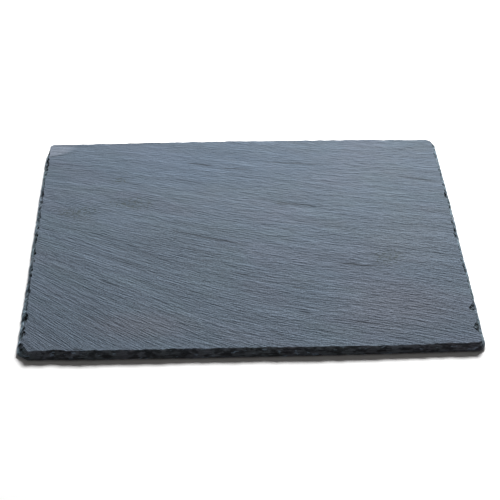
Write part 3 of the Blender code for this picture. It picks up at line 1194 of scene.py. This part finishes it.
# Notches are painted dark inside as shade, down to a tenth of the colour.
NOTCH_PAINTED_SHADE = (0.2, 0.7, 1.0, 0.10)
NICK_CELLS, NICKS = (150.0, 520.0, 170.0), (0.47, 0.53)
UNDER_ARRIS = (0.0030, 0.0048)
# The nicks are not in the mesh: they are dark dots of painted shade under the arris.
NICK_SHADE_WEIGHT = 0.82


def nick_shade_mask(tree, place, long_side):
    """Where small nicks are painted as dark dots of shade, from 0 to 1."""
    nicks = between(tree, noise_per_metre(tree, place, NICK_CELLS, 1.0), *NICKS)
    nicks = maths(tree, "MULTIPLY", nicks, between(tree, part_of(tree, place, 2), *UNDER_ARRIS))
    return maths(tree, "MULTIPLY", nicks, between(tree, long_side, *ON_SHORT_SIDE))


def mottled_and_shaded_stone(tree, colour, place, long_side, notch, nick_shade):
    """The stone's colour with painted light and shade by side, mottled, and painted dark in notches and
    nicks.
    """
    at_left = between(tree, part_of(tree, place, 0), *AT_LEFT)
    short_side_painted_light = mixed(tree, at_left, RIGHT_SIDE_PAINTED_LIGHT, LEFT_SIDE_PAINTED_LIGHT)
    shade = mixed(tree, between(tree, long_side, *ON_LONG_SIDE), short_side_painted_light, LONG_SIDE_PAINTED_SHADE)
    mottles = between(tree, noise_per_metre(tree, place, MOTTLE_CELLS), *MOTTLES)
    # Mottles are the stone's own tone; the notches get painted shade.
    mottled_notch_shade = maths(tree, "MULTIPLY", between(tree, notch, *NOTCH_PAINTED_SHADE), mottles)
    # The nicks darken the colour as painted shade.
    unshaded_by_nicks = maths(tree, "SUBTRACT", 1.0, maths(tree, "MULTIPLY", nick_shade, NICK_SHADE_WEIGHT))
    shade = shaded(tree, shade, maths(tree, "MULTIPLY", mottled_notch_shade, unshaded_by_nicks))
    return mixed(tree, 1.0, colour, shade, "MULTIPLY")


print("nicks show from", 1000 * UNDER_ARRIS[0], "mm above the table")

# %% [markdown]
# ## Hewn edge
#
# Where a flake broke cleanly along a layer, a patch is fresh. It is paler and smoother, and its paleness is
# partly painted glints: on the long sides at the front it is painted paler still. The notches and nicks are
# duller than the rest. The bump is the fine grain of the face again, with lower and shorter splinters.

# %% Finish the hewn edge
EDGE_SPECULAR = 0.14
EDGE_STONE = {"Streak Strength": 0.5, "Tint Strength": 0.5}
EDGE_GRAIN = {
    "Splinter Height": 0.00030,
    "Splinter Length": 0.0030,
    "Splinter Width": 0.0009,
    "Grain Height": 0.00008,
}
PATCH_CELLS, PATCHES, PATCH_WEIGHT = (150.0, 150.0, 480.0), (0.60, 0.67), 0.7
# The patches are paler stone; on the long sides at the front they get painted glints as well.
FRESHNESS, FRONT_PAINTED_GLINT = 1.2, (0.05, -0.05, 0.0, 1.8)
EDGE_ROUGHNESS = (0.0, 1.0, 0.75, 0.50)
DULLER_IN_NOTCHES = 0.25


def fresh_and_glinting_stone(tree, colour, place, long_side):
    """The stone's colour where a patch has just broken, with painted glints added on the long sides at the
    front.
    """
    at_front = between(tree, part_of(tree, place, 1), *FRONT_PAINTED_GLINT)
    extra = maths(tree, "MULTIPLY", at_front, between(tree, long_side, *ON_LONG_SIDE))
    return shaded(tree, colour, maths(tree, "ADD", FRESHNESS, extra))


def edge_material():
    """Hewn slate."""
    material, tree, shader = new_stone("hewn_slate", EDGE_SPECULAR)
    stone = group_node(tree, tints, EDGE_STONE)["Colour"]
    place = add(tree, "ShaderNodeTexCoord").outputs["Object"]
    long_side, notch = stored(tree, "long_side"), stored(tree, "notch")
    nick_shade = nick_shade_mask(tree, place, long_side)
    patches = between(tree, noise_per_metre(tree, place, PATCH_CELLS, 3.0), *PATCHES)
    dark = mottled_and_shaded_stone(tree, stone, place, long_side, notch, nick_shade)
    # Fresh patches, with painted glints at the front.
    fresh_and_glinting = fresh_and_glinting_stone(tree, stone, place, long_side)
    colour = mixed(tree, maths(tree, "MULTIPLY", patches, PATCH_WEIGHT), dark, fresh_and_glinting)
    tree.links.new(colour, shader.inputs["Base Color"])
    duller = maths(tree, "MULTIPLY", maths(tree, "MAXIMUM", nick_shade, notch), DULLER_IN_NOTCHES)
    roughness = maths(tree, "ADD", between(tree, patches, *EDGE_ROUGHNESS), duller)
    tree.links.new(roughness, shader.inputs["Roughness"])
    raise_bumps(tree, shader, group_node(tree, splinter_group, EDGE_GRAIN)["Height"])
    return material


edge_stone = edge_material()
print("finished", edge_stone.name)

# %% [markdown]
# ## Put the relief on the slab
#
# The modifier's inputs are set by each socket's identifier, the tree is evaluated once, and the result is
# kept as a plain mesh. The rough slab goes. Edges between facets steeper than a set angle are marked sharp,
# so that the chips stay crisp while the ripples stay smooth.

# %% Apply the relief
CRISP_ANGLE = math.radians(28)


def relieved(rough, tree, sizes):
    """A plain mesh object with the tree's result on it."""
    modifier = rough.modifiers.new("relief", "NODES")
    modifier.node_group = tree
    for item in tree.interface.items_tree:
        if item.in_out == "INPUT" and item.name in sizes:
            modifier[item.identifier] = sizes[item.name]
    view = bpy.context.evaluated_depsgraph_get()
    carved = rough.evaluated_get(view)
    mesh = bpy.data.meshes.new_from_object(carved, preserve_all_data_layers=True, depsgraph=view)
    board = bpy.data.objects.new("riven_slab", mesh)
    bpy.context.scene.collection.objects.link(board)
    bpy.data.objects.remove(rough, do_unlink=True)
    mesh.shade_smooth()
    mesh.set_sharp_from_angle(angle=CRISP_ANGLE)
    return board


board = relieved(slab, relief_tree(face_stone, edge_stone), RELIEF_SIZES)
triangles = sum(len(face.vertices) - 2 for face in board.data.polygons)
print("the board has", triangles, "triangles and the materials", [m.name for m in board.data.materials])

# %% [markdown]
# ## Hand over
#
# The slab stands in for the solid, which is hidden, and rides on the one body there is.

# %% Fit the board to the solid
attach(board, "root")
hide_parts("slate_board")
